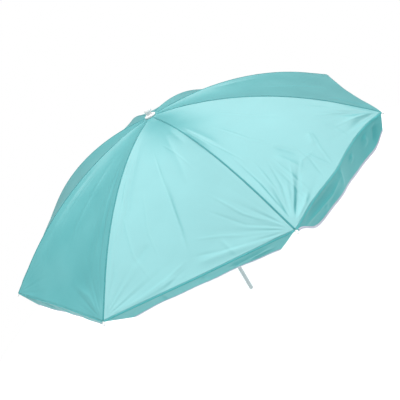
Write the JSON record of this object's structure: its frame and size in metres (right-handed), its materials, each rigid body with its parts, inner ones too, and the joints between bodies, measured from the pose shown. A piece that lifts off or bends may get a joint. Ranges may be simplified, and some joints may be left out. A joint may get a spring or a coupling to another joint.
{
  "type": "beach umbrella",
  "caption": "Beach umbrella's upper pole with folding ribs, stretchers and runner, a shallow domed nylon canopy, a slit valance with a bound hem, and a ball finial.",
  "frame": {"origin": "centre of the pole's open lower end", "axes": "+Z along the pole to the finial; the gap between ribs 2 and 3 faces -Y"},
  "size_m": [1.5846, 1.5846, 1.0388],
  "materials": {
    "pole_enamel": "gloss",
    "white_plastic": "gloss",
    "hub_plastic": "satin",
    "latch_metal": "polished",
    "clip_metal": "satin",
    "frame_steel": "satin",
    "nylon": "matte"
  },
  "bodies": {
    "pole": {"upper_pole": "pole_enamel", "top_notch": "hub_plastic", "notch_wire": "frame_steel", "finial_flange": "white_plastic", "finial_knob": "white_plastic", "latch_spring": "frame_steel"},
    "latch": {"latch_button": "latch_metal"},
    "rib_1": {"rib_1": "frame_steel", "rib_tip_1": "white_plastic", "rib_clip_1": "clip_metal"},
    "stretcher_1": {"stretcher_1": "frame_steel"},
    "rib_2": {"rib_2": "frame_steel", "rib_tip_2": "white_plastic", "rib_clip_2": "clip_metal"},
    "stretcher_2": {"stretcher_2": "frame_steel"},
    "rib_3": {"rib_3": "frame_steel", "rib_tip_3": "white_plastic", "rib_clip_3": "clip_metal"},
    "stretcher_3": {"stretcher_3": "frame_steel"},
    "rib_4": {"rib_4": "frame_steel", "rib_tip_4": "white_plastic", "rib_clip_4": "clip_metal"},
    "stretcher_4": {"stretcher_4": "frame_steel"},
    "rib_5": {"rib_5": "frame_steel", "rib_tip_5": "white_plastic", "rib_clip_5": "clip_metal"},
    "stretcher_5": {"stretcher_5": "frame_steel"},
    "rib_6": {"rib_6": "frame_steel", "rib_tip_6": "white_plastic", "rib_clip_6": "clip_metal"},
    "stretcher_6": {"stretcher_6": "frame_steel"},
    "rib_7": {"rib_7": "frame_steel", "rib_tip_7": "white_plastic", "rib_clip_7": "clip_metal"},
    "stretcher_7": {"stretcher_7": "frame_steel"},
    "rib_8": {"rib_8": "frame_steel", "rib_tip_8": "white_plastic", "rib_clip_8": "clip_metal"},
    "stretcher_8": {"stretcher_8": "frame_steel"},
    "runner": {"runner": "hub_plastic", "runner_wire": "frame_steel"},
    "panel_1": {"canopy_panel_1": "nylon"},
    "valance_1": {"valance_1": "nylon"},
    "panel_2": {"canopy_panel_2": "nylon"},
    "valance_2": {"valance_2": "nylon"},
    "panel_3": {"canopy_panel_3": "nylon"},
    "valance_3": {"valance_3": "nylon"},
    "panel_4": {"canopy_panel_4": "nylon"},
    "valance_4": {"valance_4": "nylon"},
    "panel_5": {"canopy_panel_5": "nylon"},
    "valance_5": {"valance_5": "nylon"},
    "panel_6": {"canopy_panel_6": "nylon"},
    "valance_6": {"valance_6": "nylon"},
    "panel_7": {"canopy_panel_7": "nylon"},
    "valance_7": {"valance_7": "nylon"},
    "panel_8": {"canopy_panel_8": "nylon"},
    "valance_8": {"valance_8": "nylon"}
  },
  "joints": [
    {"name": "latch_press", "type": "slide", "parent": "pole", "child": "latch", "axis": [0, 1, 0], "range_m": [0, 0.003], "stiffness_N_per_m": 300, "deforming": ["latch_spring"]},
    {"name": "rib_1_fold", "type": "hinge", "parent": "pole", "child": "rib_1", "pos_m": [-0.02033, -0.00842, 0.998], "axis": [0.3827, -0.9239, 0], "range_deg": [0, 66], "deforming": ["canopy_panel_1", "canopy_panel_2", "canopy_panel_3", "canopy_panel_4", "canopy_panel_5", "canopy_panel_6", "canopy_panel_7", "canopy_panel_8", "valance_1", "valance_2", "valance_3", "valance_4", "valance_5", "valance_6", "valance_7", "valance_8"]},
    {"name": "stretcher_1_swing", "type": "hinge", "parent": "rib_1", "child": "stretcher_1", "pos_m": [-0.38153, -0.15803, 0.92254], "axis": [0.3827, -0.9239, 0], "range_deg": [-133, 0]},
    {"name": "rib_2_fold", "type": "hinge", "parent": "pole", "child": "rib_2", "pos_m": [-0.00842, -0.02033, 0.998], "axis": [0.9239, -0.3827, 0], "range_deg": [0, 66.5]},
    {"name": "stretcher_2_swing", "type": "hinge", "parent": "rib_2", "child": "stretcher_2", "pos_m": [-0.15803, -0.38153, 0.92254], "axis": [0.9239, -0.3827, 0], "range_deg": [-133, 0]},
    {"name": "rib_3_fold", "type": "hinge", "parent": "pole", "child": "rib_3", "pos_m": [0.00842, -0.02033, 0.998], "axis": [0.9239, 0.3827, 0], "range_deg": [0, 66.5]},
    {"name": "stretcher_3_swing", "type": "hinge", "parent": "rib_3", "child": "stretcher_3", "pos_m": [0.15803, -0.38153, 0.92254], "axis": [0.9239, 0.3827, 0], "range_deg": [-133, 0]},
    {"name": "rib_4_fold", "type": "hinge", "parent": "pole", "child": "rib_4", "pos_m": [0.02033, -0.00842, 0.998], "axis": [0.3827, 0.9239, 0], "range_deg": [0, 66.5]},
    {"name": "stretcher_4_swing", "type": "hinge", "parent": "rib_4", "child": "stretcher_4", "pos_m": [0.38153, -0.15803, 0.92254], "axis": [0.3827, 0.9239, 0], "range_deg": [-133, 0]},
    {"name": "rib_5_fold", "type": "hinge", "parent": "pole", "child": "rib_5", "pos_m": [0.02033, 0.00842, 0.998], "axis": [-0.3827, 0.9239, 0], "range_deg": [0, 66.5]},
    {"name": "stretcher_5_swing", "type": "hinge", "parent": "rib_5", "child": "stretcher_5", "pos_m": [0.38153, 0.15803, 0.92254], "axis": [-0.3827, 0.9239, 0], "range_deg": [-133, 0]},
    {"name": "rib_6_fold", "type": "hinge", "parent": "pole", "child": "rib_6", "pos_m": [0.00842, 0.02033, 0.998], "axis": [-0.9239, 0.3827, 0], "range_deg": [0, 66.5]},
    {"name": "stretcher_6_swing", "type": "hinge", "parent": "rib_6", "child": "stretcher_6", "pos_m": [0.15803, 0.38153, 0.92254], "axis": [-0.9239, 0.3827, 0], "range_deg": [-133, 0]},
    {"name": "rib_7_fold", "type": "hinge", "parent": "pole", "child": "rib_7", "pos_m": [-0.00842, 0.02033, 0.998], "axis": [-0.9239, -0.3827, 0], "range_deg": [0, 66.5]},
    {"name": "stretcher_7_swing", "type": "hinge", "parent": "rib_7", "child": "stretcher_7", "pos_m": [-0.15803, 0.38153, 0.92254], "axis": [-0.9239, -0.3827, 0], "range_deg": [-133, 0]},
    {"name": "rib_8_fold", "type": "hinge", "parent": "pole", "child": "rib_8", "pos_m": [-0.02033, 0.00842, 0.998], "axis": [-0.3827, -0.9239, 0], "range_deg": [0, 66.5]},
    {"name": "stretcher_8_swing", "type": "hinge", "parent": "rib_8", "child": "stretcher_8", "pos_m": [-0.38153, 0.15803, 0.92254], "axis": [-0.3827, -0.9239, 0], "range_deg": [-133, 0]},
    {"name": "runner_level", "type": "hinge", "parent": "stretcher_1", "child": "runner", "pos_m": [-0.02033, -0.00842, 0.84707], "axis": [0.3827, -0.9239, 0], "range_deg": [0, 66.5]},
    {"name": "panel_1_fold", "type": "hinge", "parent": "pole", "child": "panel_1", "pos_m": [-0.01437, -0.01437, 0.998], "axis": [0.7071, -0.7071, 0], "range_deg": [0, 64.52]},
    {"name": "valance_1_hang", "type": "hinge", "parent": "panel_1", "child": "valance_1", "pos_m": [-0.55592, -0.55592, 0.69506], "axis": [0.7071, -0.7071, 0], "range_deg": [-84.52, 0]},
    {"name": "panel_2_fold", "type": "hinge", "parent": "pole", "child": "panel_2", "pos_m": [0, -0.02033, 0.998], "axis": [1, 0, 0], "range_deg": [0, 64.52]},
    {"name": "valance_2_hang", "type": "hinge", "parent": "panel_2", "child": "valance_2", "pos_m": [0, -0.78619, 0.69506], "axis": [1, 0, 0], "range_deg": [-104.52, 0]},
    {"name": "panel_3_fold", "type": "hinge", "parent": "pole", "child": "panel_3", "pos_m": [0.01437, -0.01437, 0.998], "axis": [0.7071, 0.7071, 0], "range_deg": [0, 64.52]},
    {"name": "valance_3_hang", "type": "hinge", "parent": "panel_3", "child": "valance_3", "pos_m": [0.55592, -0.55592, 0.69506], "axis": [0.7071, 0.7071, 0], "range_deg": [-84.52, 0]},
    {"name": "panel_4_fold", "type": "hinge", "parent": "pole", "child": "panel_4", "pos_m": [0.02033, 0, 0.998], "axis": [0, 1, 0], "range_deg": [0, 64.52]},
    {"name": "valance_4_hang", "type": "hinge", "parent": "panel_4", "child": "valance_4", "pos_m": [0.78619, 0, 0.69506], "axis": [0, 1, 0], "range_deg": [-84.52, 0]},
    {"name": "panel_5_fold", "type": "hinge", "parent": "pole", "child": "panel_5", "pos_m": [0.01437, 0.01437, 0.998], "axis": [-0.7071, 0.7071, 0], "range_deg": [0, 64.52]},
    {"name": "valance_5_hang", "type": "hinge", "parent": "panel_5", "child": "valance_5", "pos_m": [0.55592, 0.55592, 0.69506], "axis": [-0.7071, 0.7071, 0], "range_deg": [-84.52, 0]},
    {"name": "panel_6_fold", "type": "hinge", "parent": "pole", "child": "panel_6", "pos_m": [0, 0.02033, 0.998], "axis": [-1, 0, 0], "range_deg": [0, 64.52]},
    {"name": "valance_6_hang", "type": "hinge", "parent": "panel_6", "child": "valance_6", "pos_m": [0, 0.78619, 0.69506], "axis": [-1, 0, 0], "range_deg": [-84.52, 0]},
    {"name": "panel_7_fold", "type": "hinge", "parent": "pole", "child": "panel_7", "pos_m": [-0.01437, 0.01437, 0.998], "axis": [-0.7071, -0.7071, 0], "range_deg": [0, 64.52]},
    {"name": "valance_7_hang", "type": "hinge", "parent": "panel_7", "child": "valance_7", "pos_m": [-0.55592, 0.55592, 0.69506], "axis": [-0.7071, -0.7071, 0], "range_deg": [-84.52, 0]},
    {"name": "panel_8_fold", "type": "hinge", "parent": "pole", "child": "panel_8", "pos_m": [-0.02033, 0, 0.998], "axis": [0, -1, 0], "range_deg": [0, 64.52]},
    {"name": "valance_8_hang", "type": "hinge", "parent": "panel_8", "child": "valance_8", "pos_m": [-0.78619, 0, 0.69506], "axis": [0, -1, 0], "range_deg": [-84.52, 0]}
  ],
  "couplings": [
    {"joint": "stretcher_1_swing", "follows": "rib_1_fold", "ratio": -2},
    {"joint": "rib_2_fold", "follows": "rib_1_fold", "ratio": 1},
    {"joint": "stretcher_2_swing", "follows": "rib_1_fold", "ratio": -2},
    {"joint": "rib_3_fold", "follows": "rib_1_fold", "ratio": 1},
    {"joint": "stretcher_3_swing", "follows": "rib_1_fold", "ratio": -2},
    {"joint": "rib_4_fold", "follows": "rib_1_fold", "ratio": 1},
    {"joint": "stretcher_4_swing", "follows": "rib_1_fold", "ratio": -2},
    {"joint": "rib_5_fold", "follows": "rib_1_fold", "ratio": 1},
    {"joint": "stretcher_5_swing", "follows": "rib_1_fold", "ratio": -2},
    {"joint": "rib_6_fold", "follows": "rib_1_fold", "ratio": 1},
    {"joint": "stretcher_6_swing", "follows": "rib_1_fold", "ratio": -2},
    {"joint": "rib_7_fold", "follows": "rib_1_fold", "ratio": 1},
    {"joint": "stretcher_7_swing", "follows": "rib_1_fold", "ratio": -2},
    {"joint": "rib_8_fold", "follows": "rib_1_fold", "ratio": 1},
    {"joint": "stretcher_8_swing", "follows": "rib_1_fold", "ratio": -2},
    {"joint": "runner_level", "follows": "rib_1_fold", "ratio": 1},
    {"joint": "panel_1_fold", "follows": "rib_1_fold", "ratio": 0.97},
    {"joint": "valance_1_hang", "follows": "rib_1_fold", "ratio": -1.273},
    {"joint": "panel_2_fold", "follows": "rib_1_fold", "ratio": 0.97},
    {"joint": "valance_2_hang", "follows": "rib_1_fold", "ratio": -1.576},
    {"joint": "panel_3_fold", "follows": "rib_1_fold", "ratio": 0.97},
    {"joint": "valance_3_hang", "follows": "rib_1_fold", "ratio": -1.273},
    {"joint": "panel_4_fold", "follows": "rib_1_fold", "ratio": 0.97},
    {"joint": "valance_4_hang", "follows": "rib_1_fold", "ratio": -1.273},
    {"joint": "panel_5_fold", "follows": "rib_1_fold", "ratio": 0.97},
    {"joint": "valance_5_hang", "follows": "rib_1_fold", "ratio": -1.273},
    {"joint": "panel_6_fold", "follows": "rib_1_fold", "ratio": 0.97},
    {"joint": "valance_6_hang", "follows": "rib_1_fold", "ratio": -1.273},
    {"joint": "panel_7_fold", "follows": "rib_1_fold", "ratio": 0.97},
    {"joint": "valance_7_hang", "follows": "rib_1_fold", "ratio": -1.273},
    {"joint": "panel_8_fold", "follows": "rib_1_fold", "ratio": 0.97},
    {"joint": "valance_8_hang", "follows": "rib_1_fold", "ratio": -1.273}
  ]
}
